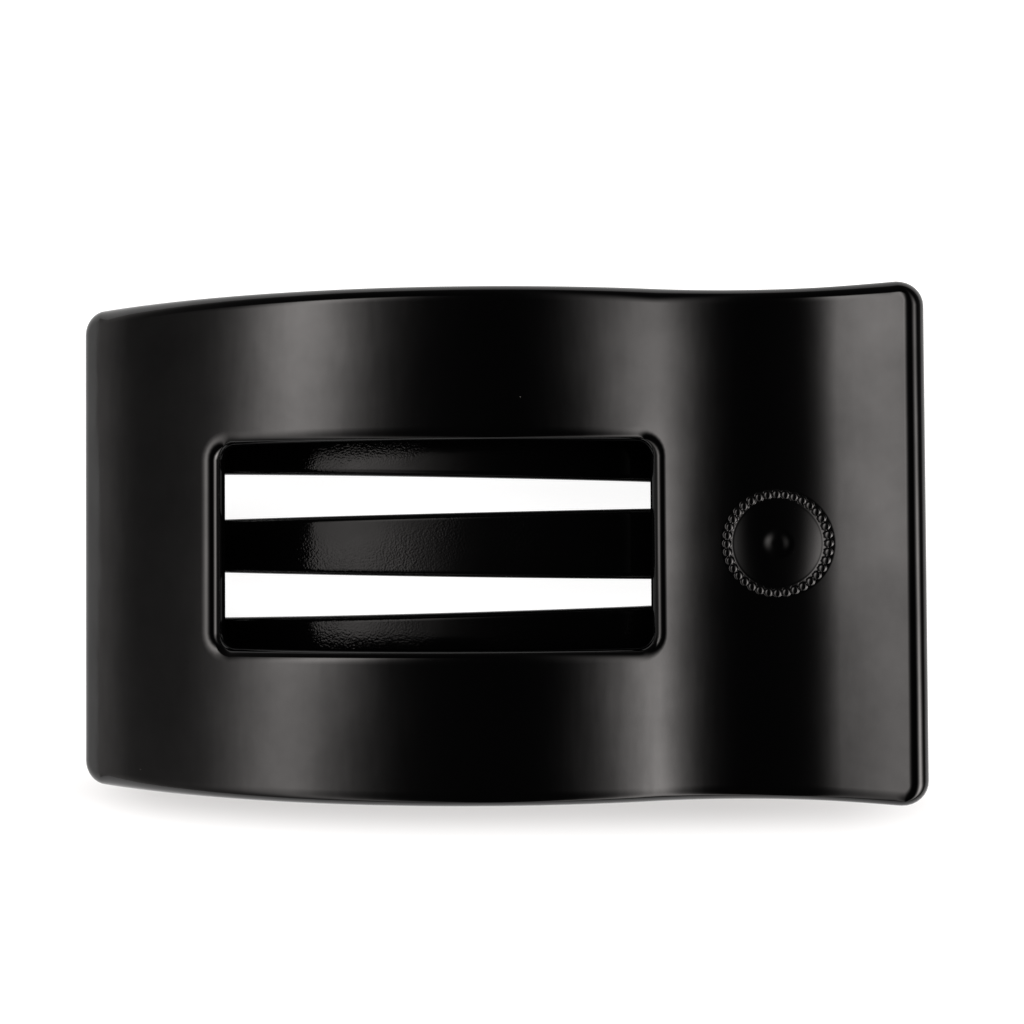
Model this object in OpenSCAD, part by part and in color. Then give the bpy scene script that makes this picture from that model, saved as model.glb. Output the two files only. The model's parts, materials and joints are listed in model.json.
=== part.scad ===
// Flat-lay hair barrette: an arched shell with a window, sprung against a three-tined jaw.
// X runs along the barrette with the thumb tab at +X, Y across it, Z up out of the hair.
// The origin lies on the resting plane, under the centre of the bounding box.

/* [Shell] */
// Length of the shell
shell_l = 93.4; // [88:0.1:100]
// Width of the shell
shell_w = 55.2; // [46:0.1:64]
// Thickness of the shell
shell_t = 3; // [2.6:0.1:3.4]
// Radius of the arch that lies over the head
arch_r = 74.5; // [72:0.5:84]
// Slope where the arch turns into the shallow dip over the hinge
turn_a = 14.6; // [14:0.1:15]
// Radius of the dip
dip_r = 34; // [32:0.5:36]
// Radius where the dip turns up
rise_r = 22; // [20:0.5:24]
// Slope where the rise eases into the thumb tab
rise_a = 22.5; // [20:0.5:24]
// Radius of the thumb tab
tab_r = 60; // [50:1:80]
// Radius of the shell's corners
corner_r = 2.8; // [1:0.1:6]

/* [Window] */
// Length of the window
window_l = 47; // [40:0.1:50]
// Width of the window
window_w = 22.2; // [18:0.1:26]
// Distance of the window's centre from the shell's centre, along X
window_x = -5.15; // [-7:0.05:-4]
// Radius of the window's corners
window_r = 1.6; // [1:0.1:5]

/* [Medallion] */
// Distance of the medallion from the shell's centre
medal_x = 31.7; // [30:0.1:33]
// Outer diameter of the medallion's ring
medal_d = 12; // [8:0.1:13]
// Width of the ring
medal_ring_w = 1.5; // [0.8:0.1:1.8]
// Diameter of the dome in the middle
medal_dome = 3.6; // [2:0.1:5]

/* [Jaw] */
// Thickness of the jaw
jaw_t = 2.4; // [2:0.1:2.6]
// Width of the jaw over its outer tines
jaw_w = 29.9; // [28:0.1:32]
// Number of tines
tines = 3; // [2:1:3]
// Width of a tine where it leaves the lever
tine_root_w = 8.2; // [6:0.1:8.4]
// Width of a tine at its tip
tine_tip_w = 6; // [4:0.1:6.5]
// Radius of the long arch of the tines
tine_r = 95; // [92:1:98]
// Radius inside the curled tips
curl_r = 6; // [5.6:0.1:6.2]
// Slope of the lever
lever_a = 23.5; // [22:0.1:24]
// Number of grip ridges inside each curled tip
tip_ridges = 3; // [0:1:4]

/* [Hinge] */
// Distance of the hinge axis from the shell's centre
hinge_x = 29; // [28.4:0.1:29.6]
// Depth of the hinge axis under the top of the arch
hinge_depth = 10.6; // [10.4:0.05:10.7]
// Diameter of the pin
pin_d = 2; // [1.6:0.1:2.2]
// Radius of the hinge lugs
lug_r = 3; // [2.6:0.1:3.1]
// Thickness of each lug
lug_t = 2.4; // [1.8:0.1:2.6]
// Clear width between the jaw's lugs
spring_bay = 8.6; // [8:0.1:9]
// Diameter of the spring wire
wire_d = 0.8; // [0.6:0.05:0.85]
// Mean radius of the spring's coil
coil_r = 2.05; // [1.9:0.05:2.1]

/* [Hidden] */

// Fits and finish
running = 0.06;        // radial clearance of the pin in the jaw
side_gap = 0.3;        // between the jaw's lugs and the shell's
beyond = 1;            // how far a cutter reaches past what it cuts
round_fn = 64;
arc_step = 1.5;        // degrees between the points of a long arc

// Shell: the centres of the arch, dip, rise and tab, in X and depth under the arch's top
dip_a = 11;            // slope where the dip turns into the rise
arch_end_a = 41.5;     // slopes at which the two ends run past the outline
tab_end_a = 35;
arch_c = [0, -arch_r];
dip_c = arch_c + (arch_r + dip_r) * [sin(turn_a), cos(turn_a)];
rise_c = dip_c + (dip_r - rise_r) * [sin(dip_a), -cos(dip_a)];
tab_c = rise_c + (rise_r - tab_r) * [sin(rise_a), -cos(rise_a)];
under_ridges = 4;
under_ridge_w = 36;
under_ridge_d = 1.2;
under_ridge_step = 2.4;   // degrees of arch
under_ridge_a = 24.5;     // slope at the ridge nearest the middle
ring_h = 0.4;
dome_h = 0.3;

// Jaw: the long arch, the curl at the tips, the shoulder and the lever
arch_top = [12, -9.8];
tine_c = arch_top - [0, tine_r];
curl_a = 28.3;         // slope where the arch turns into the curl
tip_a = 58;            // slope of the tips
tip_l = 0.7;           // straight length of the tips
shoulder_r = 20;
shoulder_a = 2;        // slope where the arch turns into the shoulder
lever_x = 45.4;
lever_lip_r = 1.6;
lever_lip_inset = 0.5;
lever_corner_r = 5;
tine_root_x = 22;
tine_fillet = 1.2;
tip_round = 2;
tip_margin = 0.3;      // how far the tines' plan runs past their round tips
ridge_d = 0.9;
curl_p = tine_c + tine_r * [-sin(curl_a), cos(curl_a)];
curl_c = curl_p + curl_r * [-sin(curl_a), cos(curl_a)];
shoulder_p = tine_c + tine_r * [sin(shoulder_a), cos(shoulder_a)];
shoulder_c = shoulder_p - shoulder_r * [sin(shoulder_a), cos(shoulder_a)];
lever_p = shoulder_c + shoulder_r * [sin(lever_a), cos(lever_a)];
tip_p = curl_c + curl_r * [-sin(tip_a), -cos(tip_a)] + tip_l * [-cos(tip_a), sin(tip_a)];

// Resting plane: it trims a small flat land on each tine and on the lever's lip
land_trim = 0.12;
rest_z = curl_c[1] - curl_r - jaw_t + land_trim;
lift = -rest_z;

// Hinge
hinge = [hinge_x, -hinge_depth];
jaw_lug_y = spring_bay / 2;
shell_lug_y = jaw_lug_y + lug_t + side_gap;
pin_l = 2 * (shell_lug_y + lug_t) + 0.6;
lug_foot = 3.8;        // half the length of a lug where it meets its plate

// Spring
turns = 7;
coil_pitch = wire_d + 0.06;
up_a = 18;             // slope of the leg under the tab
up_l = 12.6;
down_a = -27;          // slope of the leg on the lever
down_l = 12.6;
wind_a = turns * 360 + 180 - up_a + down_a;
coil_l = coil_pitch * wind_a / 360;
wire_sides = 8;
wire_step = 24;        // degrees between the rings of wire along the coil

function polar(c, r, a) = c + r * [cos(a), sin(a)];
function arc(c, r, from, to) =
    let (n = max(2, ceil(abs(to - from) / arc_step)))
    [for (i = [0:n]) polar(c, r, from + (to - from) * i / n)];
function lever_z(x) = lever_p[1] - (x - lever_p[0]) * tan(lever_a);
// Middle of tine i where the tines are this wide, so that the outer ones keep straight edges.
function tine_y(i, width) = (2 * i / (tines - 1) - 1) * (jaw_w - width) / 2;

// Everything is drawn with the top of the arch at Z 0, and lifted onto the resting plane.
module lifted() {
    translate([0, 0, lift]) children();
}

// A side view, drawn in X and Z, given a width along Y.
module across(width, y = 0) {
    translate([0, y, 0]) rotate([90, 0, 0]) linear_extrude(width, center = true) children();
}

// A plan view as a cutter that is taller than the barrette.
module plan_prism() {
    translate([0, 0, -40]) linear_extrude(60) children();
}

module rounded_square(size, r) {
    offset(r = r, $fn = round_fn) square(size - 2 * [r, r], center = true);
}

// ---------- shell ----------

// The curve that stands h above the shell's top, from the arch's end to the tab's.
function shell_curve(h) = concat(
    arc(arch_c, arch_r + h, 90 + arch_end_a, 90 - turn_a),
    arc(dip_c, dip_r - h, 270 - turn_a, 270 + dip_a),
    arc(rise_c, rise_r - h, 270 + dip_a, 270 + rise_a),
    arc(tab_c, tab_r - h, 270 + rise_a, 270 + tab_end_a)
);

// Side view of the layer between two such curves.
module shell_layer(low, high) {
    under = shell_curve(low);
    polygon(concat(shell_curve(high), [for (i = [len(under) - 1:-1:0]) under[i]]));
}

module shell_plan() {
    difference() {
        rounded_square([shell_l, shell_w], corner_r);
        translate([window_x, 0]) rounded_square([window_l, window_w], window_r);
    }
}

// Ridges across the underside that keep hair from sliding out past the tips.
module under_ridge_row() {
    for (i = [0:under_ridges - 1]) {
        p = polar(arch_c, arch_r - shell_t, 90 + under_ridge_a + i * under_ridge_step);
        translate([p[0], 0, p[1]]) rotate([90, 0, 0])
            cylinder(h = under_ridge_w, d = under_ridge_d, center = true, $fn = round_fn);
    }
}

// A plain ring that follows the shell's surface, with a dome in its middle.
module medallion() {
    slope = asin((medal_x - dip_c[0]) / dip_r);
    p = polar(dip_c, dip_r, 270 + slope);
    dome_r = (pow(medal_dome / 2, 2) + pow(dome_h, 2)) / (2 * dome_h);
    intersection() {
        across(2 * medal_d) shell_layer(-shell_t / 2, ring_h);
        plan_prism() translate([medal_x, 0]) difference() {
            circle(d = medal_d, $fn = round_fn);
            circle(d = medal_d - 2 * medal_ring_w, $fn = round_fn);
        }
    }
    translate([p[0], 0, p[1]]) rotate([0, -slope, 0]) intersection() {
        translate([0, 0, dome_h - dome_r]) sphere(r = dome_r, $fn = round_fn);
        cylinder(h = shell_t, d = 2 * medal_dome, center = true, $fn = round_fn);
    }
}

// Side view of a lug: a round eye on a foot that reaches the plate at foot_z.
module lug_side(foot_l, foot_r, depth_l, depth_r) {
    translate(hinge) circle(r = lug_r, $fn = round_fn);
    polygon([
        hinge + [-lug_r, 0], hinge + [lug_r, 0],
        hinge + [foot_r, depth_r], hinge + [-foot_l, depth_l]
    ]);
}

module shell_lugs() {
    depth = dip_c[1] - dip_r - shell_t + hinge_depth + shell_t / 3;
    for (side = [-1, 1])
        across(lug_t, side * (shell_lug_y + lug_t / 2))
            lug_side(lug_foot, lug_foot, depth, depth);
}

module pin_bore(r) {
    translate([hinge[0], 0, hinge[1]]) rotate([90, 0, 0])
        cylinder(h = pin_l + 2 * beyond, r = r, center = true, $fn = round_fn);
}

module top_shell() {
    color([0.02, 0.02, 0.02]) lifted() difference() {
        union() {
            intersection() {
                across(shell_w + 2 * beyond) shell_layer(-shell_t, 0);
                plan_prism() shell_plan();
            }
            shell_lugs();
            under_ridge_row();
            medallion();
        }
        pin_bore(pin_d / 2);
    }
}

// ---------- jaw ----------

module jaw_side() {
    lever_end = [lever_x + beyond, lever_z(lever_x + beyond)];
    lever_down = jaw_t * [-sin(lever_a), -cos(lever_a)];
    tip_out = jaw_t * [-sin(tip_a), -cos(tip_a)];
    polygon(concat(
        [tip_p],
        arc(curl_c, curl_r, 270 - tip_a, 270 + curl_a),
        arc(tine_c, tine_r, 90 + curl_a, 90 - shoulder_a),
        arc(shoulder_c, shoulder_r, 90 - shoulder_a, 90 - lever_a),
        [lever_end, lever_end + lever_down],
        arc(shoulder_c, shoulder_r - jaw_t, 90 - lever_a, 90 - shoulder_a),
        arc(tine_c, tine_r - jaw_t, 90 - shoulder_a, 90 + curl_a),
        arc(curl_c, curl_r + jaw_t, 270 + curl_a, 270 - tip_a),
        [tip_p + tip_out]
    ));
    translate(tip_p + tip_out / 2) circle(d = jaw_t, $fn = round_fn);
}

module tine_plan(i) {
    tip_x = tip_p[0] - (1 + sin(tip_a)) * jaw_t / 2 - tip_margin;
    root_x = tine_root_x + 2 * tip_round;
    tip_y = tine_y(i, tine_tip_w);
    root_y = tine_y(i, tine_root_w);
    offset(r = tip_round, $fn = 48) offset(delta = -tip_round) polygon([
        [tip_x, tip_y - tine_tip_w / 2], [root_x, root_y - tine_root_w / 2],
        [root_x, root_y + tine_root_w / 2], [tip_x, tip_y + tine_tip_w / 2]
    ]);
}

module jaw_plan() {
    lever_l = lever_x - tine_root_x;
    offset(r = -tine_fillet, $fn = 48) offset(r = tine_fillet, $fn = 48) {
        for (i = [0:tines - 1]) tine_plan(i);
        translate([tine_root_x + lever_l / 2, 0]) rounded_square([lever_l, jaw_w], lever_corner_r);
        translate([tine_root_x + lever_l / 4, 0]) square([lever_l / 2, jaw_w], center = true);
    }
}

// The rolled lip at the end of the lever, which also carries it on the resting plane.
module lever_lip() {
    lip_w = jaw_w - 2 * lever_corner_r;
    translate([lever_x - lever_lip_inset - lever_lip_r, 0, rest_z - land_trim + lever_lip_r])
        rotate([90, 0, 0]) cylinder(h = lip_w, r = lever_lip_r, center = true, $fn = round_fn);
}

module jaw_lugs() {
    skew = lug_foot * tan(lever_a);
    depth = lever_z(hinge_x) + hinge_depth - jaw_t / 3;
    for (side = [-1, 1])
        across(lug_t, side * (jaw_lug_y + lug_t / 2))
            lug_side(lug_foot, lug_foot, depth + skew, depth - skew);
}

// Low ridges across each tine inside its curl, which grip the hair.
module tip_ridge_rows() {
    for (i = [0:tines - 1], j = [0:tip_ridges - 1]) {
        p = polar(curl_c, curl_r, 250 + j * 20);
        translate([p[0], tine_y(i, tine_tip_w), p[1]]) rotate([90, 0, 0])
            cylinder(h = tine_tip_w - 1, d = ridge_d, center = true, $fn = round_fn);
    }
}

module lower_jaw() {
    color([0.04, 0.04, 0.04]) lifted() difference() {
        union() {
            intersection() {
                across(jaw_w + 2 * beyond) jaw_side();
                plan_prism() jaw_plan();
            }
            lever_lip();
            jaw_lugs();
            tip_ridge_rows();
        }
        pin_bore(pin_d / 2 + running);
        translate([0, 0, rest_z - 5]) cube([2 * shell_l, 2 * shell_w, 10], center = true);
    }
}

// ---------- hinge ----------

module hinge_pin() {
    chamfer = pin_d / 8;
    color([0.75, 0.75, 0.77]) lifted()
        translate([hinge[0], 0, hinge[1]]) rotate([90, 0, 0]) {
            cylinder(h = pin_l - 2 * chamfer, d = pin_d, center = true, $fn = round_fn);
            for (side = [0, 1]) mirror([0, 0, side]) translate([0, 0, pin_l / 2 - chamfer])
                cylinder(h = chamfer, d1 = pin_d, d2 = pin_d - 2 * chamfer, $fn = round_fn);
        }
}

// Centre line of the spring wire about the hinge axis: lower leg, coil, upper leg.
start_a = 270 + down_a;
function coil_point(a) = [
    coil_r * cos(start_a - a), -coil_l / 2 + coil_l * a / wind_a, coil_r * sin(start_a - a)
];
function leg_point(from, a, l) = from + [l * cos(a), 0, l * sin(a)];
coil_n = ceil(wind_a / wire_step);
wire_path = concat(
    [leg_point(coil_point(0), down_a, down_l)],
    [for (i = [0:coil_n]) coil_point(wind_a * i / coil_n)],
    [leg_point(coil_point(wind_a), up_a, up_l)]
);

// A round wire swept along a path of points, as one closed solid.
function unit(v) = v / norm(v);
function heading(path, i) =
    unit(path[min(i + 1, len(path) - 1)] - path[max(i - 1, 0)]);
function wire_ring(path, i) =
    let (t = heading(path, i), side = unit([0, 1, 0] - t[1] * t), up = cross(t, side))
    [for (k = [0:wire_sides - 1]) let (a = 360 * k / wire_sides)
        path[i] + wire_d / 2 * (cos(a) * side + sin(a) * up)];

module wire(path) {
    n = len(path);
    points = [for (i = [0:n - 1]) each wire_ring(path, i)];
    walls = [for (i = [0:n - 2], k = [0:wire_sides - 1])
        let (k2 = (k + 1) % wire_sides, a = i * wire_sides, b = a + wire_sides)
        each [[a + k, a + k2, b + k2], [a + k, b + k2, b + k]]];
    first = [for (k = [0:wire_sides - 1]) wire_sides - 1 - k];
    last = [for (k = [0:wire_sides - 1]) (n - 1) * wire_sides + k];
    polyhedron(points, concat(walls, [first, last]));
}

module torsion_spring() {
    color([0.6, 0.6, 0.62]) lifted() translate([hinge[0], 0, hinge[1]]) wire(wire_path);
}

top_shell();
lower_jaw();
hinge_pin();
torsion_spring();
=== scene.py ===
import json
import math

import bmesh
import bpy
from mathutils import Matrix, Vector


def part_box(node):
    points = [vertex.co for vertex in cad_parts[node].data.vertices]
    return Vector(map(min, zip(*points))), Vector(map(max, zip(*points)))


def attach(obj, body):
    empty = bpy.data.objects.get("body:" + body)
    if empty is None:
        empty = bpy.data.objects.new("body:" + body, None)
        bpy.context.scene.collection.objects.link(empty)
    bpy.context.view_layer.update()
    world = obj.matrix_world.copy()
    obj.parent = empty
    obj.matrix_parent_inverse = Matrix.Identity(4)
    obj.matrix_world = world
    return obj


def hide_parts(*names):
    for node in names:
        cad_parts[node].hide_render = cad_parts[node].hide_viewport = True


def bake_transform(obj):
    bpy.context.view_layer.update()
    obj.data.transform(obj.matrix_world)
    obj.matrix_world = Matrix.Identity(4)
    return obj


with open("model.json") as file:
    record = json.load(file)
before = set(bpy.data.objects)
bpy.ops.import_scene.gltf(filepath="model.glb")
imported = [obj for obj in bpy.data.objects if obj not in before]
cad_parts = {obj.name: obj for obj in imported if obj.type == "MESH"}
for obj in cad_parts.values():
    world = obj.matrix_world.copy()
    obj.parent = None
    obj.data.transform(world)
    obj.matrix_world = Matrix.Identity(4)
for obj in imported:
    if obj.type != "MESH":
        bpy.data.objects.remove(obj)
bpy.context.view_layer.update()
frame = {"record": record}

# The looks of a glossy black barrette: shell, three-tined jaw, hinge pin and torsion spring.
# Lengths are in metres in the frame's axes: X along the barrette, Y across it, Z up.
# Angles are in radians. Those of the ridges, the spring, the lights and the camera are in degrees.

MM = 0.001

# ---------------------------------------------------------------- dimensions

SHELL_LOW, SHELL_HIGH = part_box("top_shell")
JAW_LOW, JAW_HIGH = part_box("lower_jaw")
PIN_LOW, PIN_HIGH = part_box("hinge_pin")
PIN_R = (PIN_HIGH.z - PIN_LOW.z) / 2
HINGE = Vector(frame["record"]["behaviour"]["joints"][0]["pos_m"])
REST_Z = JAW_LOW.z

SHELL_T = 3 * MM
ARCH_R = 74.5 * MM
TURN_A = math.radians(14.6)
DIP_R = 34 * MM
DIP_A = math.radians(11)
RISE_R = 22 * MM
RISE_A = math.radians(22.5)
TAB_R = 60 * MM
CORNER_R = 2.8 * MM
HINGE_DEPTH = 10.6 * MM
APEX_Z = HINGE.z + HINGE_DEPTH

WINDOW_LOW = Vector((-28.65, -11.1)) * MM
WINDOW_HIGH = Vector((18.35, 11.1)) * MM
WINDOW_R = 1.6 * MM

MEDAL_X = 31.7 * MM
MEDAL_RING_R = 5.3 * MM
MEDAL_RING_HALF = 0.65 * MM
MEDAL_RING_H = 0.04 * MM
MEDAL_BEADS = 36
MEDAL_BEAD_R = 0.46 * MM
MEDAL_BEAD_H = 0.2 * MM
MEDAL_DISH_R = 4.6 * MM
MEDAL_DISH_H = 0.26 * MM
MEDAL_DOME_R = 1.8 * MM
MEDAL_DOME_H = 0.28 * MM
MEDAL_PATCH_R = 6.3 * MM

OUTER_EDGE_R = 1.6 * MM
OUTER_EDGE_EASE = (1.5, 0.3)
WINDOW_EDGE_R = 1.1 * MM
WINDOW_EDGE_EASE = (0.8, 4)
UNDER_EDGE_R = 0.5 * MM

UNDER_RIDGES = 4
UNDER_RIDGE_W = 36 * MM
UNDER_RIDGE_R = 0.6 * MM
UNDER_RIDGE_A = 24.5
UNDER_RIDGE_STEP = 2.4

JAW_T = 2.4 * MM
TINE_R = 95 * MM
TINE_TOP = (12 * MM, -9.8 * MM)
CURL_R = 6 * MM
CURL_A = math.radians(28.3)
TIP_A = math.radians(58)
SHOULDER_R = 20 * MM
SHOULDER_A = math.radians(2)
LEVER_A = math.radians(23.5)
TINES = 3
TINE_ROOT_W = 8.2 * MM
TINE_TIP_W = 6 * MM
TINE_ROOT_X = 22 * MM
TINE_FILLET = 1.2 * MM
TIP_ROUND = 2 * MM
LEVER_CORNER_R = 5 * MM
TINE_EDGE_R = 0.8 * MM
TIP_EDGE_R = 1.12 * MM
TIP_EDGE_START = -38 * MM
TIP_RIDGES = 3
TIP_RIDGE_R = 0.45 * MM
TIP_RIDGE_INSET = 0.8 * MM
TIP_RIDGE_STEP = 20
LIP_R = 1.48 * MM
LIP_INSET = 2.1 * MM

LUG_R = 3 * MM
LUG_T = 2.4 * MM
LUG_FOOT = 3.8 * MM
JAW_LUG_Y = 4.3 * MM
SHELL_LUG_Y = 7.0 * MM
RUNNING = 0.06 * MM

WIRE_R = 0.4 * MM
COIL_R = 2.05 * MM
COIL_TURNS = 7
COIL_PITCH = 0.86 * MM
UP_A = 18
DOWN_A = -27
LEG_L = 12.6 * MM
COIL_RING_STEP = 7.5
LEG_RINGS = 16

BLACK = (0.0005, 0.0005, 0.00055)
WARM_WHITE = (1, 0.952, 0.931, 1)
WHITE = (1, 1, 1, 1)


# ---------------------------------------------------------------- side profiles

class Profile:
    """A smooth side view from arcs and straight ends, which can be offset along its normal.

    Each piece has a slope: the angle of its normal from vertical, positive towards +X.
    An arc's radius is positive where it is crowned and negative where it is hollow.
    """

    def __init__(self):
        self.pieces = []

    def arc(self, centre, radius, end_slope):
        self.pieces.append(("arc", centre, radius, end_slope))

    def line(self, point, slope, end_x=math.inf):
        self.pieces.append(("line", point, slope, end_x))

    def at(self, x, offset=0.0):
        """Height and slope at x on the curve that lies offset above the profile."""
        for kind, origin, size, end in self.pieces:
            if kind == "line":
                last = end + offset * math.sin(size)
            else:
                last = origin[0] + (size + offset) * math.sin(end)
            if x <= last:
                break
        if kind == "line":
            rise = (x - origin[0] - offset * math.sin(size)) * math.tan(size)
            return origin[1] + offset * math.cos(size) - rise, size
        radius = size + offset
        slope = math.asin(max(-1.0, min(1.0, (x - origin[0]) / radius)))
        return origin[1] + radius * math.cos(slope), slope

    def point(self, x, y, height=0.0):
        """The point that stands height above the profile, along its normal at x."""
        z, slope = self.at(x)
        return Vector((x + height * math.sin(slope), y, z + height * math.cos(slope)))


def step_along(centre, radius, slope):
    """The point of an arc where its normal has this slope."""
    return centre[0] + radius * math.sin(slope), centre[1] + radius * math.cos(slope)


def shell_profile():
    arch = (0.0, APEX_Z - ARCH_R)
    turn = step_along(arch, ARCH_R, TURN_A)
    dip = step_along(turn, DIP_R, TURN_A)
    rise = step_along(dip, RISE_R - DIP_R, -DIP_A)
    tab = step_along(rise, TAB_R - RISE_R, -RISE_A)
    profile = Profile()
    profile.arc(arch, ARCH_R, TURN_A)
    profile.arc(dip, -DIP_R, -DIP_A)
    profile.arc(rise, -RISE_R, -RISE_A)
    profile.arc(tab, -TAB_R, -math.pi / 2)
    return profile


def jaw_profile():
    tine = (TINE_TOP[0], APEX_Z + TINE_TOP[1] - TINE_R)
    curl = step_along(step_along(tine, TINE_R, -CURL_A), CURL_R, -CURL_A)
    shoulder = step_along(step_along(tine, TINE_R, SHOULDER_A), -SHOULDER_R, SHOULDER_A)
    tip = step_along(curl, -CURL_R, TIP_A)
    profile = Profile()
    profile.line(tip, TIP_A, tip[0])
    profile.arc(curl, -CURL_R, -CURL_A)
    profile.arc(tine, TINE_R, SHOULDER_A)
    profile.arc(shoulder, SHOULDER_R, LEVER_A)
    profile.line(step_along(shoulder, SHOULDER_R, LEVER_A), LEVER_A)
    return profile, curl


# ---------------------------------------------------------------- plan outlines

def outline(corners, step=0.8 * MM, arc_points=9):
    """Samples (x, y, outward x, outward y) round a polygon whose corners (x, y, radius) are rounded.

    The solid lies to the left of the direction of travel, so holes run clockwise.
    """
    count = len(corners)
    tangents = []
    for i, (x, y, radius) in enumerate(corners):
        here = Vector((x, y))
        before = (Vector(corners[i - 1][:2]) - here).normalized()
        after = (Vector(corners[(i + 1) % count][:2]) - here).normalized()
        half = before.angle(after) / 2
        reach = radius / math.tan(half)
        centre = here + (before + after).normalized() * (radius / math.sin(half))
        tangents.append((here + before * reach, here + after * reach, centre, before, after))
    samples = []
    for i, (first, last, centre, before, after) in enumerate(tangents):
        turn = before.cross(after)
        side = 1 if turn < 0 else -1
        start = math.atan2(*reversed((first - centre)[:]))
        sweep = (math.pi - before.angle(after)) * side
        for k in range(arc_points):
            angle = start + sweep * k / (arc_points - 1)
            ray = Vector((math.cos(angle), math.sin(angle)))
            place = centre + ray * (first - centre).length
            samples.append((*place, *(ray * side)))
        to = tangents[(i + 1) % count][0]
        run = to - last
        pieces = max(1, math.ceil(abs(run.x) / step))
        along = run.normalized()
        for k in range(1, pieces):
            place = last + run * (k / pieces)
            samples.append((*place, along.y, -along.x))
    return samples


def rectangle(low, high, radius, hole=False):
    corners = [(low[0], low[1], radius), (high[0], low[1], radius),
               (high[0], high[1], radius), (low[0], high[1], radius)]
    return corners[::-1] if hole else corners


# ---------------------------------------------------------------- mesh building

class Body:
    """Vertices and faces of one closed mesh, with rails that strips of faces are hung between."""

    def __init__(self):
        self.verts = []
        self.faces = []
        self.chains = {}

    def add(self, point):
        self.verts.append(Vector(point))
        return len(self.verts) - 1

    def band(self, lower, upper):
        count = len(lower)
        for i in range(count):
            j = (i + 1) % count
            self.faces.append([lower[i], lower[j], upper[j], upper[i]])

    def skin(self, rails, height, up):
        """Fills the region between closed rails with flat strips along Y, at height(x)."""
        tolerance = 0.002 * MM
        stations = []
        for x in sorted(self.verts[i].x for rail in rails for i in rail):
            if not stations or x - stations[-1] > tolerance:
                stations.append(x)
        column = {}
        for rail in rails:
            for i in rail:
                nearest = min(range(len(stations)), key=lambda k: abs(stations[k] - self.verts[i].x))
                column[i] = nearest
                self.verts[i].x = stations[nearest]
                self.verts[i].z = height(stations[nearest])
        spans = [[] for _ in stations]
        standing = [set() for _ in stations]
        for rail in rails:
            for i, j in zip(rail, rail[1:] + rail[:1]):
                chain = self.split(i, j, column, stations, height)
                for a, b in zip(chain, chain[1:]):
                    standing[column[a]].add(a)
                    standing[column[b]].add(b)
                    if column[a] != column[b]:
                        left, right = (a, b) if column[a] < column[b] else (b, a)
                        spans[column[left]].append((left, right))
        for k, edges in enumerate(spans[:-1]):
            edges.sort(key=lambda e: self.verts[e[0]].y + self.verts[e[1]].y)
            for low, high in zip(edges[::2], edges[1::2]):
                self.strip(self.side(standing[k], low[0], high[0]),
                           self.side(standing[k + 1], low[1], high[1]), up)

    def split(self, i, j, column, stations, height):
        """The edge from i to j as a chain with a vertex at each station that it crosses."""
        start, end = column[i], column[j]
        way = 1 if end > start else -1
        chain = [i]
        for k in range(start + way, end, way):
            share = (stations[k] - self.verts[i].x) / (self.verts[j].x - self.verts[i].x)
            y = self.verts[i].y + (self.verts[j].y - self.verts[i].y) * share
            new = self.add((stations[k], y, height(stations[k])))
            column[new] = k
            chain.append(new)
        chain.append(j)
        self.chains[i, j] = chain
        return chain

    def side(self, standing, low, high):
        if low == high:
            return [low]
        floor, ceiling = self.verts[low].y, self.verts[high].y
        between = [v for v in standing if floor < self.verts[v].y < ceiling and v not in (low, high)]
        return [low, *sorted(between, key=lambda v: self.verts[v].y), high]

    def strip(self, left, right, up):
        """Joins two upright rows of vertices with one quad or a zip of triangles."""
        if len(left) == 2 and len(right) == 2:
            found = [[left[0], right[0], right[1], left[1]]]
        else:
            found = []
            i = j = 0
            while i < len(left) - 1 or j < len(right) - 1:
                move_left = j == len(right) - 1 or (
                    i < len(left) - 1 and self.verts[left[i + 1]].y <= self.verts[right[j + 1]].y)
                if move_left:
                    found.append([left[i], right[j], left[i + 1]])
                    i += 1
                else:
                    found.append([left[i], right[j], right[j + 1]])
                    j += 1
        self.faces += found if up else [face[::-1] for face in found]

    def expand(self, face):
        """The face with each rail edge replaced by its chain."""
        whole = []
        for a, b in zip(face, face[1:] + face[:1]):
            if (a, b) in self.chains:
                whole += self.chains[a, b][:-1]
            elif (b, a) in self.chains:
                whole += self.chains[b, a][:0:-1]
            else:
                whole.append(a)
        return whole

    def build(self, name):
        mesh = bpy.data.meshes.new(name)
        mesh.from_pydata(self.verts, [], [self.expand(face) for face in self.faces])
        work = bmesh.new()
        work.from_mesh(mesh)
        bmesh.ops.triangulate(work, faces=[f for f in work.faces if len(f.verts) > 4])
        work.to_mesh(mesh)
        work.free()
        return link(name, mesh)


def link(name, data):
    """A new object in the scene, with this mesh, light or camera as its data."""
    obj = bpy.data.objects.new(name, data)
    bpy.context.scene.collection.objects.link(obj)
    return obj


def ball_edge(profile, thickness, radius, sign, steps):
    """A maker of the edge that a ball of radius(x) leaves, above for sign 1 and below for -1."""
    def points(x, y, out_x, out_y):
        size = radius(x)
        depth = -size if sign > 0 else size - thickness
        cx, cy = x - out_x * size, y - out_y * size
        z, slope = profile.at(cx, depth)
        out = Vector((out_x, out_y, 0))
        normal = Vector((math.sin(slope), 0, math.cos(slope))) * sign
        return [Vector((cx, cy, z)) + out.slerp(normal, k / steps) * size for k in range(steps + 1)]
    return points


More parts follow.
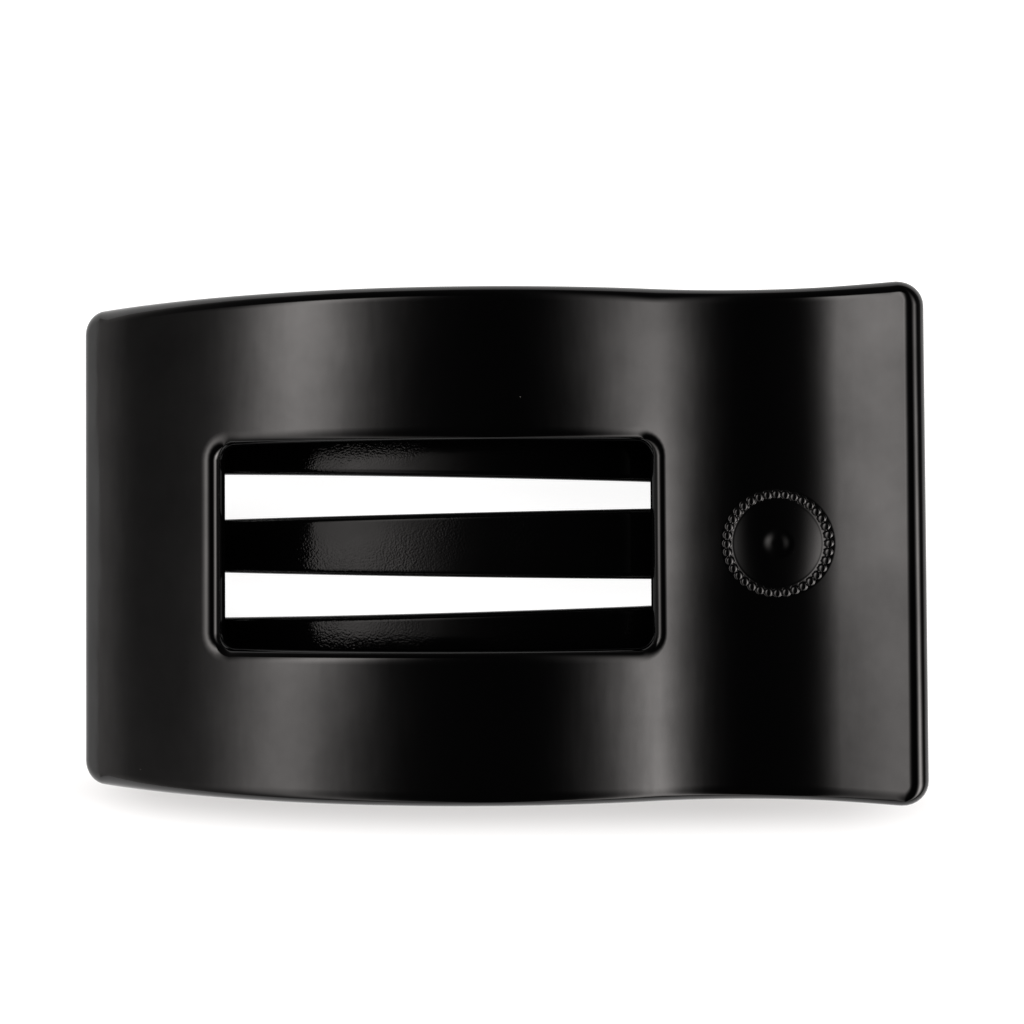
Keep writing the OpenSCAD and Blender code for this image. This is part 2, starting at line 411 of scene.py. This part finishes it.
def eased_edge(profile, radius, ease, steps):
    """A maker of an upper edge that is round at the wall and flattens out towards the skin.

    ease holds how much it flattens on walls that face -X and on walls that face +X.
    """
    # A row takes fine steps of the turn. The greater late is, the later the flattening sets in.
    fine, late = 4, 10

    def section(turn, flatter):
        """Distance in from the wall and depth under the skin, from the wall to the skin."""
        inset = rise = 0.0
        rows = [(inset, rise)]
        for k in range(steps * fine):
            share = (k + 0.5) / (steps * fine)
            run = radius * (1 + flatter * share ** late) * turn / (steps * fine)
            inset += run * math.sin(share * turn)
            rise += run * math.cos(share * turn)
            if (k + 1) % fine == 0:
                rows.append((inset, rise))
        return [(a, (rise - b) * math.sin(turn) - (inset - a) * math.cos(turn)) for a, b in rows]

    def points(x, y, out_x, out_y):
        slope = profile.at(x - out_x * radius)[1]
        flatter = (ease[0] * (1 - out_x) + ease[1] * (1 + out_x)) / 2
        found = []
        for inset, depth in section(math.acos(out_x * math.sin(slope)), flatter):
            px = x - out_x * inset
            found.append(Vector((px, y - out_y * inset, profile.at(px, -depth)[0])))
        return found
    return points


def plate(body, profile, thickness, loops):
    """Vertical walls on each loop, with rounded edges above and below, and the lower skin.

    loops holds (samples, maker of the upper edge, maker of the lower edge).
    Returns the rails of the upper skin, which is filled by the caller.
    """
    upper_rails, under_rails = [], []
    for samples, top_edge, under_edge in loops:
        columns = [[*reversed(under_edge(*sample)), *top_edge(*sample)] for sample in samples]
        rows = [[body.add(point) for point in row] for row in zip(*columns)]
        for lower, upper in zip(rows, rows[1:]):
            body.band(lower, upper)
        under_rails.append(rows[0])
        upper_rails.append(rows[-1])
    body.skin(under_rails, lambda x: profile.at(x, -thickness)[0], up=False)
    return upper_rails


def prism(name, outline_xz, y_low, y_high, edge=0.3 * MM, steps=3):
    """A closed solid with this convex side view, drawn anticlockwise, with rounded edges."""
    centre = sum((Vector(p) for p in outline_xz), Vector((0, 0))) / len(outline_xz)
    body = Body()
    rows = []
    for y_face, way in ((y_low, 1), (y_high, -1)):
        for k in range(steps + 1):
            turn = math.pi / 2 * k / steps
            inset = edge * (1 - math.sin(turn))
            y = y_face + way * edge * (1 - math.cos(turn))
            row = []
            for p in outline_xz:
                ray = Vector(p) - centre
                place = centre + ray * (1 - inset / ray.length)
                row.append(body.add((place.x, y, place.y)))
            rows.append(row)
    rows[steps + 1:] = rows[:steps:-1]
    for lower, upper in zip(rows, rows[1:]):
        body.band(lower, upper)
    body.faces.append(rows[0][::-1])
    body.faces.append(rows[-1])
    return body.build(name)


def rod(name, start, end, radius, sides=32, cap_steps=6, cap=1.0):
    """A round bar from start to end. Its ends are domed by cap times its radius."""
    axis = (end - start).normalized()
    body = Body()
    rows = []
    profile_points = []
    for k in range(1, cap_steps + 1):
        turn = math.pi / 2 * k / cap_steps
        profile_points.append((cap * radius * (1 - math.sin(turn)), radius * math.sin(turn)))
    length = (end - start).length
    stations = profile_points + [(length - d, r) for d, r in profile_points[::-1]]
    side = axis.orthogonal().normalized()
    for distance, r in stations:
        row = []
        for k in range(sides):
            spin = Matrix.Rotation(2 * math.pi * k / sides, 3, axis)
            row.append(body.add(start + axis * distance + spin @ side * r))
        rows.append(row)
    first = body.add(start)
    last = body.add(end)
    for lower, upper in zip(rows, rows[1:]):
        body.band(lower, upper)
    for k in range(sides):
        body.faces.append([first, rows[0][(k + 1) % sides], rows[0][k]])
        body.faces.append([last, rows[-1][k], rows[-1][(k + 1) % sides]])
    return body.build(name)


def combine(obj, others, operation):
    """Adds the others to obj, or cuts them from it, and deletes them."""
    for other in others:
        change = obj.modifiers.new("change", "BOOLEAN")
        change.object = other
        change.operation = operation
        change.solver = "EXACT"
    graph = bpy.context.evaluated_depsgraph_get()
    mesh = bpy.data.meshes.new_from_object(obj.evaluated_get(graph))
    obj.modifiers.clear()
    obj.data = mesh
    for other in others:
        bpy.data.objects.remove(other)
    return obj


def smooth(obj, profile=None, thickness=0.0):
    """Smooth shading, with the exact normals of the profile on both of its skins."""
    sharp = math.radians(32)
    near = 0.004 * MM
    facing = 0.97
    mesh = obj.data
    mesh.shade_smooth()
    mesh.set_sharp_from_angle(angle=sharp)
    if profile is None:
        return obj
    normals = [Vector((0, 0, 0))] * len(mesh.loops)
    for face in mesh.polygons:
        for k in face.loop_indices:
            place = mesh.vertices[mesh.loops[k].vertex_index].co
            for offset, sign in ((0.0, 1), (-thickness, -1)):
                z, slope = profile.at(place.x, offset)
                normal = Vector((math.sin(slope), 0, math.cos(slope))) * sign
                if abs(place.z - z) < near and face.normal.dot(normal) > facing:
                    normals[k] = normal
    mesh.normals_split_custom_set(normals)
    return obj


# ---------------------------------------------------------------- pieces

def smoothstep(share):
    share = max(0.0, min(1.0, share))
    return share * share * (3 - 2 * share)


def medallion_height(distance, angle):
    """Height of the low ring with its round beads, the shallow round dish and the dome."""
    flat_top = 1.15
    ring = MEDAL_RING_H * smoothstep(2 - 2 * abs(distance - MEDAL_RING_R) / MEDAL_RING_HALF)
    dish = -MEDAL_DISH_H * max(0.0, 1 - (distance / MEDAL_DISH_R) ** 2)
    dome = MEDAL_DOME_H * smoothstep(flat_top * (1 - distance / MEDAL_DOME_R))
    turns = angle / (2 * math.pi) * MEDAL_BEADS
    aside = (turns - round(turns)) * 2 * math.pi / MEDAL_BEADS * MEDAL_RING_R
    reach = math.hypot(distance - MEDAL_RING_R, aside) / MEDAL_BEAD_R
    bead = MEDAL_BEAD_H * math.sqrt(max(0.0, 1 - reach * reach))
    return ring + dish + dome + bead


def medallion(body, profile, points_per_bead=12, rim_share=3):
    """A round patch of the upper skin. Returns its rim, which runs clockwise."""
    points = MEDAL_BEADS * points_per_bead
    fine, coarse = 0.07 * MM, 0.14 * MM
    distances = [MEDAL_PATCH_R]
    while distances[-1] > 2 * fine:
        beaded = abs(distances[-1] - MEDAL_RING_R) < MEDAL_RING_HALF + coarse
        distances.append(distances[-1] - (fine if beaded else coarse))
    rows = []
    for row_number, distance in enumerate(distances):
        row = []
        for i in range(0, points, 1 if row_number else rim_share):
            angle = -2 * math.pi * (i + 0.5) / points
            x = MEDAL_X + distance * math.cos(angle)
            height = medallion_height(distance, angle) if row_number else 0.0
            row.append(body.add(profile.point(x, distance * math.sin(angle), height)))
        rows.append(row)
    for k, start in enumerate(rows[0]):
        inner = [rows[1][(rim_share * k + j) % points] for j in range(rim_share + 1)]
        body.faces.append([start, rows[0][(k + 1) % len(rows[0])], *inner[::-1]])
    for outer, inner in zip(rows[1:], rows[2:]):
        body.band(outer, inner)
    middle = body.add(profile.point(MEDAL_X, 0, medallion_height(0, 0)))
    for i in range(points):
        body.faces.append([rows[-1][i], rows[-1][(i + 1) % points], middle])
    return rows[0]


def lug_outline(depth_left, depth_right):
    """A round eye on a splayed foot, anticlockwise seen from -Y, where +X is to the right."""
    eye = []
    steps = 24
    upward = depth_left > 0
    for k in range(steps + 1):
        angle = math.pi * k / steps + (math.pi if upward else 0)
        eye.append((HINGE.x + LUG_R * math.cos(angle), HINGE.z + LUG_R * math.sin(angle)))
    right = (HINGE.x + LUG_FOOT, HINGE.z + depth_right)
    left = (HINGE.x - LUG_FOOT, HINGE.z + depth_left)
    return eye + ([right, left] if upward else [left, right])


def lugs(near_y, depth_left, depth_right):
    shape = lug_outline(depth_left, depth_right)
    return [prism("lug", shape, near_y, near_y + LUG_T),
            prism("lug", shape, -near_y - LUG_T, -near_y)]


def bore(radius):
    reach = Vector((0, SHELL_HIGH.y, 0))
    return rod("bore", HINGE - reach, HINGE + reach, radius, sides=64, cap_steps=1, cap=0.0)


def make_shell():
    profile = shell_profile()
    body = Body()
    outer = outline(rectangle(SHELL_LOW, SHELL_HIGH, CORNER_R))
    window = outline(rectangle(WINDOW_LOW, WINDOW_HIGH, WINDOW_R, hole=True))
    under_edge = ball_edge(profile, SHELL_T, lambda x: UNDER_EDGE_R, -1, steps=6)
    rails = plate(body, profile, SHELL_T, [
        (outer, eased_edge(profile, OUTER_EDGE_R, OUTER_EDGE_EASE, steps=14), under_edge),
        (window, eased_edge(profile, WINDOW_EDGE_R, WINDOW_EDGE_EASE, steps=18), under_edge),
    ])
    rails.append(medallion(body, profile))
    body.skin(rails, lambda x: profile.at(x)[0], up=True)
    shell = body.build("shell_moulding")
    # The feet of the lugs end inside the plate.
    under = profile.at(HINGE.x, -SHELL_T * 2 / 3)[0] - HINGE.z
    extras = lugs(SHELL_LUG_Y, under, under)
    extras += under_ridges()
    combine(shell, extras, "UNION")
    combine(shell, [bore(PIN_R)], "DIFFERENCE")
    return smooth(shell, profile, SHELL_T)


def under_ridges():
    """Low ridges across the underside of the arch, near the tips."""
    found = []
    half = Vector((0, UNDER_RIDGE_W / 2, 0))
    for i in range(UNDER_RIDGES):
        slope = -math.radians(UNDER_RIDGE_A + UNDER_RIDGE_STEP * i)
        x, z = step_along((0.0, APEX_Z - ARCH_R), ARCH_R - SHELL_T, slope)
        middle = Vector((x, 0, z))
        found.append(rod("ridge", middle - half, middle + half, UNDER_RIDGE_R, sides=24))
    return found


def tine_width(x):
    root = TINE_ROOT_X + 2 * TIP_ROUND
    return TINE_TIP_W + (TINE_ROOT_W - TINE_TIP_W) * (x - JAW_LOW.x) / (root - JAW_LOW.x)


def tine_y(i, width):
    """Middle of tine i where the tines are this wide: the outer ones keep straight edges."""
    return (2 * i / (TINES - 1) - 1) * (JAW_HIGH.y - width / 2)


def tine_outline():
    """The jaw's plan: tines that widen into one lever."""
    tip, root = JAW_LOW.x, TINE_ROOT_X
    tip_w, root_w = tine_width(tip), tine_width(root)
    corners = [(JAW_HIGH.x, -JAW_HIGH.y, LEVER_CORNER_R), (JAW_HIGH.x, JAW_HIGH.y, LEVER_CORNER_R)]
    for i in reversed(range(TINES)):
        if i < TINES - 1:
            corners.append((root, tine_y(i, root_w) + root_w / 2, TINE_FILLET))
        corners.append((tip, tine_y(i, tip_w) + tip_w / 2, TIP_ROUND))
        corners.append((tip, tine_y(i, tip_w) - tip_w / 2, TIP_ROUND))
        if i > 0:
            corners.append((root, tine_y(i, root_w) - root_w / 2, TINE_FILLET))
    return outline(corners, step=0.4 * MM)


def tine_edge(x):
    """The edge radius grows towards the tips, which are fully round."""
    share = (TIP_EDGE_START - x) / (TIP_EDGE_START - JAW_LOW.x)
    return TINE_EDGE_R + (TIP_EDGE_R - TINE_EDGE_R) * smoothstep(share)


def tip_ridges(curl):
    """Low ridges across each tine, inside its curl."""
    found = []
    half = Vector((0, TINE_TIP_W / 2 - TIP_RIDGE_INSET, 0))
    for i in range(TINES):
        for j in range(TIP_RIDGES):
            slope = math.radians(TIP_RIDGE_STEP * (TIP_RIDGES // 2 - j))
            x, z = step_along(curl, -CURL_R, slope)
            middle = Vector((x, tine_y(i, tine_width(x)), z))
            found.append(rod("ridge", middle - half, middle + half, TIP_RIDGE_R, sides=20))
    return found


def make_jaw():
    profile, curl = jaw_profile()
    body = Body()
    edges = [ball_edge(profile, JAW_T, tine_edge, sign, steps=6) for sign in (1, -1)]
    rails = plate(body, profile, JAW_T, [(tine_outline(), *edges)])
    body.skin(rails, lambda x: profile.at(x)[0], up=True)
    # A small flat land under each tine's curl rests on the table.
    for vert in body.verts:
        vert.z = max(vert.z, REST_Z)
    jaw = body.build("jaw_moulding")
    # The feet of the lugs end inside the plate, and follow the slope of the lever.
    skew = LUG_FOOT * math.tan(LEVER_A)
    depth = profile.at(HINGE.x, -JAW_T / 3)[0] - HINGE.z
    extras = lugs(JAW_LUG_Y, depth + skew, depth - skew)
    extras += tip_ridges(curl)
    lip_y = Vector((0, JAW_HIGH.y - LEVER_CORNER_R - LIP_R / 2, 0))
    lip = Vector((JAW_HIGH.x - LIP_INSET, 0, REST_Z + LIP_R))
    extras.append(rod("lip", lip - lip_y, lip + lip_y, LIP_R))
    combine(jaw, extras, "UNION")
    combine(jaw, [bore(PIN_R + RUNNING)], "DIFFERENCE")
    return smooth(jaw, profile, JAW_T)


def make_pin():
    start = Vector((HINGE.x, PIN_LOW.y, HINGE.z))
    end = Vector((HINGE.x, PIN_HIGH.y, HINGE.z))
    return smooth(rod("pin_turned", start, end, PIN_R, sides=64, cap=0.3))


def make_spring():
    """A wire swept along the lower leg, the coil and the upper leg."""
    wind = COIL_TURNS * 360 + 180 - UP_A + DOWN_A
    length = COIL_PITCH * wind / 360
    start = 270 + DOWN_A

    def coil(a):
        angle = math.radians(start - a)
        return HINGE + Vector((COIL_R * math.cos(angle), -length / 2 + length * a / wind,
                               COIL_R * math.sin(angle)))

    def leg(origin, angle, distance):
        turn = math.radians(angle)
        return origin + Vector((math.cos(turn), 0, math.sin(turn))) * distance

    rings = math.ceil(wind / COIL_RING_STEP)
    legs = [LEG_L * k / LEG_RINGS for k in range(LEG_RINGS, 0, -1)]
    path = [leg(coil(0), DOWN_A, d) for d in legs]
    path += [coil(wind * k / rings) for k in range(rings + 1)]
    path += [leg(coil(wind), UP_A, d) for d in reversed(legs)]
    sides = 16
    body = Body()
    rows = []
    for i, place in enumerate(path):
        along = (path[min(i + 1, len(path) - 1)] - path[max(i - 1, 0)]).normalized()
        side = Vector((0, 1, 0)).cross(along).normalized()
        up = along.cross(side)
        rows.append([body.add(place + (side * math.cos(t) + up * math.sin(t)) * WIRE_R)
                     for t in (2 * math.pi * k / sides for k in range(sides))])
    for lower, upper in zip(rows, rows[1:]):
        body.band(lower, upper)
    body.faces.append(rows[0][::-1])
    body.faces.append(rows[-1])
    spring = smooth(body.build("spring_wire"))
    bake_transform(spring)
    return spring


# ---------------------------------------------------------------- materials

def principled(name):
    material = bpy.data.materials.new(name)
    material.use_nodes = True
    tree = material.node_tree
    return material, tree, tree.nodes["Principled BSDF"]


def node(tree, kind, **values):
    made = tree.nodes.new(kind)
    for key, value in values.items():
        if hasattr(made, key):
            setattr(made, key, value)
        else:
            made.inputs[key.replace("_", " ")].default_value = value
    return made


def single(tree, operation, value):
    """A math node with one input."""
    made = node(tree, "ShaderNodeMath", operation=operation)
    tree.links.new(value, made.inputs[0])
    return made.outputs[0]


def total(tree, operation, first, *others):
    """A chain of math nodes that joins numbers and sockets by one operation."""
    for other in others:
        step = node(tree, "ShaderNodeMath", operation=operation)
        for socket, value in zip(step.inputs, (first, other)):
            if isinstance(value, bpy.types.NodeSocket):
                tree.links.new(value, socket)
            else:
                socket.default_value = value
        first = step.outputs[0]
    return first


def falloff(tree, distance, width):
    """A smooth hump that is 1 where the distance is 0."""
    share = total(tree, "DIVIDE", distance, width)
    return total(tree, "POWER", math.e, total(tree, "MULTIPLY", share, share, -0.5))


def noise(tree, stretch=(1, 1, 1), **values):
    """Noise in the piece's own coordinates, closer together along the larger values of stretch."""
    place = node(tree, "ShaderNodeTexCoord")
    mapping = node(tree, "ShaderNodeMapping", Scale=stretch)
    made = node(tree, "ShaderNodeTexNoise", **values)
    tree.links.new(place.outputs["Object"], mapping.inputs["Vector"])
    tree.links.new(mapping.outputs["Vector"], made.inputs["Vector"])
    return made.outputs["Fac"]


def between(tree, value, low, high, to_low=0.0, to_high=1.0):
    """The value mapped from low..high, without going past either end."""
    made = node(tree, "ShaderNodeMapRange", From_Min=low, From_Max=high, To_Min=to_low, To_Max=to_high)
    tree.links.new(value, made.inputs["Value"])
    return made.outputs["Result"]


def bumps(tree, surface, *layers):
    """Puts layers of relief, each a (height, depth in metres), one on another."""
    below = None
    for height, depth in layers:
        bump = node(tree, "ShaderNodeBump", Strength=1.0, Distance=depth)
        tree.links.new(height, bump.inputs["Height"])
        if below:
            tree.links.new(below, bump.inputs["Normal"])
        below = bump.outputs["Normal"]
    tree.links.new(below, surface.inputs["Normal"])


def shaded(tree, colour, shade):
    """The colour made darker or lighter by shade."""
    mix = node(tree, "ShaderNodeMix", data_type="RGBA", blend_type="MULTIPLY")
    mix.inputs["Factor"].default_value = 1.0
    mix.inputs["A"].default_value = (*colour, 1)
    tree.links.new(shade, mix.inputs["B"])
    return mix.outputs["Result"]


def dust(tree):
    """1 in sparse tiny specks, and 0 elsewhere."""
    place = node(tree, "ShaderNodeTexCoord")
    cells = node(tree, "ShaderNodeTexVoronoi", Scale=210.0)
    tree.links.new(place.outputs["Object"], cells.inputs["Vector"])
    chance = node(tree, "ShaderNodeSeparateColor")
    tree.links.new(cells.outputs["Color"], chance.inputs["Color"])
    near = between(tree, cells.outputs["Distance"], 0.014, 0.02, 1, 0)
    return total(tree, "MULTIPLY", near, between(tree, chance.outputs["Red"], 0.72, 0.73))


def painted_wall_shade(tree, specular, window):
    """Specular level with painted shade: full on the skins, less on the walls, and none on the
    window's wall, so the walls come out darker than the plastic would.
    """
    place = node(tree, "ShaderNodeTexCoord")
    facing = node(tree, "ShaderNodeSeparateXYZ")
    tree.links.new(place.outputs["Normal"], facing.inputs["Vector"])
    upright = single(tree, "ABSOLUTE", facing.outputs["Z"])
    level = between(tree, upright, 0.35, 0.8, 0.35 * specular, specular)
    if not window:
        return level
    where = node(tree, "ShaderNodeSeparateXYZ")
    tree.links.new(place.outputs["Object"], where.inputs["Vector"])
    inside = 1.0
    for axis, low, high in zip("XY", *window):
        middle = total(tree, "SUBTRACT", where.outputs[axis], (low + high) / 2)
        reach = (high - low) / 2 + 0.3 * MM
        near = total(tree, "LESS_THAN", single(tree, "ABSOLUTE", middle), reach)
        inside = total(tree, "MULTIPLY", inside, near)
    # Painted shade: the window's wall gets no reflection.
    wall = total(tree, "MULTIPLY", inside, between(tree, upright, 0.25, 0.6, 1, 0))
    return total(tree, "MULTIPLY", level, total(tree, "SUBTRACT", 1, wall))


def plastic(name, colour, roughness, wave, streak, grain, specular, dusty=False, window=None):
    """Moulded black plastic. wave, streak and grain are the depths of its relief in metres.

    window holds the low and high corners in plan of an opening whose wall is left without reflection,
    as painted shade.
    """
    material, tree, surface = principled(name)
    surface.inputs["IOR"].default_value = 1.52
    surface.inputs["Specular IOR Level"].default_value = specular
    smudges = noise(tree, Scale=110.0, Detail=5.0, Roughness=0.6)
    # Painted shade: the walls reflect less than the skins, and the window's wall nothing at all.
    level = total(tree, "MULTIPLY", painted_wall_shade(tree, specular, window),
                  between(tree, smudges, 0.3, 0.7, 0.84, 1.14))
    tree.links.new(level, surface.inputs["Specular IOR Level"])
    tinted = shaded(tree, colour, between(tree, noise(tree, Scale=60.0, Detail=3.0), 0, 1, 0.8, 1.25))
    if dusty:
        speck = node(tree, "ShaderNodeMix", data_type="RGBA")
        speck.inputs["B"].default_value = (0.035, 0.034, 0.032, 1)
        tree.links.new(dust(tree), speck.inputs["Factor"])
        tree.links.new(tinted, speck.inputs["A"])
        tinted = speck.outputs["Result"]
    tree.links.new(tinted, surface.inputs["Base Color"])
    haze = noise(tree, Scale=140.0, Detail=6.0, Roughness=0.65)
    tree.links.new(between(tree, haze, 0.3, 0.75, roughness * 0.85, roughness * 1.25),
                   surface.inputs["Roughness"])
    patches = between(tree, noise(tree, Scale=90.0, Detail=1.0), 0.38, 0.56)
    pebbles = total(tree, "MULTIPLY", noise(tree, Scale=4200.0, Detail=1.0), patches)
    bumps(tree, surface,
          (noise(tree, Scale=70.0, Detail=1.0), wave),
          (noise(tree, (1, 0.3, 1), Scale=300.0, Detail=2.0), streak),
          (pebbles, grain))
    return material


def steel(name, colour, roughness):
    """Drawn steel, with fine marks."""
    material, tree, surface = principled(name)
    surface.inputs["Metallic"].default_value = 1.0
    marks = noise(tree, Scale=900.0, Detail=4.0)
    tree.links.new(between(tree, marks, 0, 1, roughness * 0.7, roughness * 1.4),
                   surface.inputs["Roughness"])
    tree.links.new(shaded(tree, colour, between(tree, marks, 0, 1, 0.85, 1.1)),
                   surface.inputs["Base Color"])
    bumps(tree, surface, (marks, 0.004 * MM))
    return material


def finish_piece(obj, node_name, material, body=None):
    obj.data.materials.clear()
    obj.data.materials.append(material)
    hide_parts(node_name)
    if body:
        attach(obj, body)


# ---------------------------------------------------------------- studio

def within(tree, value, low, high, width):
    """1 between low and high, with smooth flanks outside them."""
    under = total(tree, "MAXIMUM", total(tree, "SUBTRACT", low, value), 0)
    over = total(tree, "MAXIMUM", total(tree, "SUBTRACT", value, high), 0)
    return falloff(tree, total(tree, "ADD", under, over), width)


def shadow_under_shell(tree, x, y):
    """How deep the soft shadow is: full under the shell, and none in the light from its window."""
    soft = 2.7 * MM
    left = total(tree, "DIVIDE", total(tree, "MINIMUM", x, 0), 45 * MM)
    bow = total(tree, "MULTIPLY", left, left, 1.9 * MM)
    edge = total(tree, "SUBTRACT", y, total(tree, "ADD", bow, -31.9 * MM))
    out = total(tree, "DIVIDE", single(tree, "ABSOLUTE", x), 50 * MM)
    ends = falloff(tree, total(tree, "POWER", out, 4), 1)
    rim = total(tree, "MULTIPLY", falloff(tree, edge, soft), ends)
    lit = total(tree, "MULTIPLY", within(tree, x, -34 * MM, 22 * MM, 2 * MM),
                within(tree, y, -14 * MM, 14 * MM, 1.5 * MM))
    below = total(tree, "MULTIPLY", within(tree, x, -40 * MM, 38 * MM, 2.5 * MM), ends,
                  within(tree, edge, 0, 52 * MM, soft), total(tree, "SUBTRACT", 1, lit))
    return total(tree, "MAXIMUM", rim, below)


def floor():
    """A pale light table. Its glow eases off far out, and in the soft shadow under the shell."""
    mesh = bpy.data.meshes.new("floor")
    half = 3.0
    mesh.from_pydata([(-half, -half, REST_Z), (half, -half, REST_Z),
                      (half, half, REST_Z), (-half, half, REST_Z)], [], [(0, 1, 2, 3)])
    obj = link("floor", mesh)
    material, tree, surface = principled("pale_floor")
    surface.inputs["Base Color"].default_value = (0.3, 0.3, 0.3, 1)
    surface.inputs["Roughness"].default_value = 0.9
    surface.inputs["Specular IOR Level"].default_value = 0.1
    surface.inputs["Emission Color"].default_value = WHITE
    place = node(tree, "ShaderNodeTexCoord")
    where = node(tree, "ShaderNodeSeparateXYZ")
    tree.links.new(place.outputs["Object"], where.inputs["Vector"])
    x, y, _ = where.outputs
    squares = total(tree, "ADD", total(tree, "MULTIPLY", x, x), total(tree, "MULTIPLY", y, y))
    away = single(tree, "SQRT", squares)
    glow = total(tree, "MULTIPLY", falloff(tree, away, 100 * MM), 0.3)
    shadow = total(tree, "MULTIPLY", shadow_under_shell(tree, x, y), -0.56)
    tree.links.new(total(tree, "ADD", glow, shadow, 0.62), surface.inputs["Emission Strength"])
    mesh.materials.append(material)


def backdrop():
    """A white wall far out all round, which only the camera sees."""
    sides, radius, foot, top = 48, 2.6, REST_Z - 0.5, REST_Z + 4
    body = Body()
    turns = [2 * math.pi * k / sides for k in range(sides)]
    rows = [[body.add((radius * math.cos(t), radius * math.sin(t), z)) for t in turns]
            for z in (foot, top)]
    body.band(*rows)
    obj = body.build("backdrop")
    material, tree, surface = principled("white_wall")
    surface.inputs["Base Color"].default_value = (0.8, 0.8, 0.8, 1)
    surface.inputs["Emission Color"].default_value = WHITE
    surface.inputs["Emission Strength"].default_value = 1.0
    obj.data.materials.append(material)
    obj.visible_diffuse = False
    obj.visible_glossy = False
    obj.visible_transmission = False
    obj.visible_shadow = False


def top_fill():
    """A wide soft light from above and behind, which lights the table and isn't mirrored."""
    light = bpy.data.lights.new("top_fill", "AREA")
    light.size = 0.8
    light.energy = 8
    obj = link("top_fill", light)
    obj.location = (-0.2, 0.5, 1.0)
    obj.rotation_euler = Vector(obj.location).to_track_quat("Z", "Y").to_euler()
    obj.visible_glossy = False
    obj.visible_camera = False


def softbox(tree, across, along, centre, width, lean, length):
    """A long softbox in the sky, as a hump of light across it times its brightness along it.

    across and along are a direction's angles from overhead, in radians. centre and width are
    in degrees, and the box leans by lean.
    """
    middle = total(tree, "ADD", total(tree, "MULTIPLY", along, lean), math.radians(centre))
    hump = falloff(tree, total(tree, "SUBTRACT", across, middle), math.radians(width))
    return total(tree, "MULTIPLY", hump, length)


def studio():
    """Two long softboxes overhead and a pale horizon, as the light of a white room."""
    world = bpy.data.worlds.new("studio")
    bpy.context.scene.world = world
    world.use_nodes = True
    tree = world.node_tree
    direction = node(tree, "ShaderNodeSeparateXYZ")
    tree.links.new(node(tree, "ShaderNodeTexCoord").outputs["Generated"], direction.inputs[0])
    x, y, z = direction.outputs
    across = total(tree, "ARCTAN2", x, z)
    along = total(tree, "ARCTAN2", y, single(tree, "ABSOLUTE", z))

    # The left box grows brighter towards its far end, which is cut off straight.
    growth = total(tree, "POWER", math.e, total(tree, "MULTIPLY", along, 1.16))
    cut = between(tree, along, math.radians(32), math.radians(38), 1, 0)
    left_length = total(tree, "MULTIPLY", total(tree, "MINIMUM", growth, 1.25), cut, 4.3)
    left = softbox(tree, across, along, -40.1, 7.9, 0.17, left_length)
    skirt = softbox(tree, across, along, -48, 16, 0.17, total(tree, "MULTIPLY", cut, 0.34))

    # The right box is brightest nearer its near end.
    off = total(tree, "ADD", along, math.radians(30))
    right = softbox(tree, across, along, 38.3, 8.2, -0.24,
                    total(tree, "MULTIPLY", falloff(tree, off, math.radians(28)), 11.6))

    # The horizon is palest to the left and darkest at the near side.
    side = total(tree, "MULTIPLY", x, x, total(tree, "ADD", total(tree, "MULTIPLY", x, -0.22), 0.62))
    round_about = total(tree, "ADD", total(tree, "MULTIPLY", y, 0.12), 0.14, side)
    horizon = total(tree, "MULTIPLY", falloff(tree, z, 0.086), 0.52)
    haze = total(tree, "MULTIPLY", falloff(tree, z, 0.43), 0.17)
    room = total(tree, "MULTIPLY", total(tree, "ADD", horizon, haze), round_about)

    background = tree.nodes["Background"]
    background.inputs["Color"].default_value = WARM_WHITE
    tree.links.new(total(tree, "ADD", left, skirt, right, room, 0.002),
                   background.inputs["Strength"])
    bpy.context.scene.view_settings.view_transform = "Standard"


def camera():
    """Straight above, very slightly off square, as a product photograph is taken."""
    tilt = (1.06, 0.2, -0.36)
    offset = Vector((3.3, 3.5, 148.8)) * MM
    data = bpy.data.cameras.new("camera")
    data.sensor_width = 36
    data.lens = 49.8
    data.clip_start = 0.01
    obj = link("camera", data)
    obj.rotation_mode = "YXZ"
    obj.rotation_euler = [math.radians(a) for a in tilt]
    obj.location = Vector((0, 0, APEX_Z)) + obj.rotation_euler.to_matrix() @ offset
    bpy.context.scene.camera = obj


# ---------------------------------------------------------------- assembly

camera()
studio()
top_fill()
floor()
backdrop()

shell_plastic = plastic("shell_plastic", BLACK, 0.06, wave=0.1 * MM, streak=0.014 * MM,
                        grain=0.0006 * MM, specular=0.35, dusty=True,
                        window=(WINDOW_LOW, WINDOW_HIGH))
jaw_plastic = plastic("jaw_plastic", BLACK, 0.1, wave=0.05 * MM, streak=0.01 * MM,
                      grain=0.03 * MM, specular=0.112)
pin_steel = steel("pin_steel", (0.6, 0.6, 0.62), 0.22)
spring_steel = steel("spring_steel", (0.5, 0.5, 0.52), 0.28)

finish_piece(make_shell(), "top_shell", shell_plastic, "shell")
finish_piece(make_jaw(), "lower_jaw", jaw_plastic, "jaw")
finish_piece(make_pin(), "hinge_pin", pin_steel, "shell")
finish_piece(make_spring(), "torsion_spring", spring_steel)
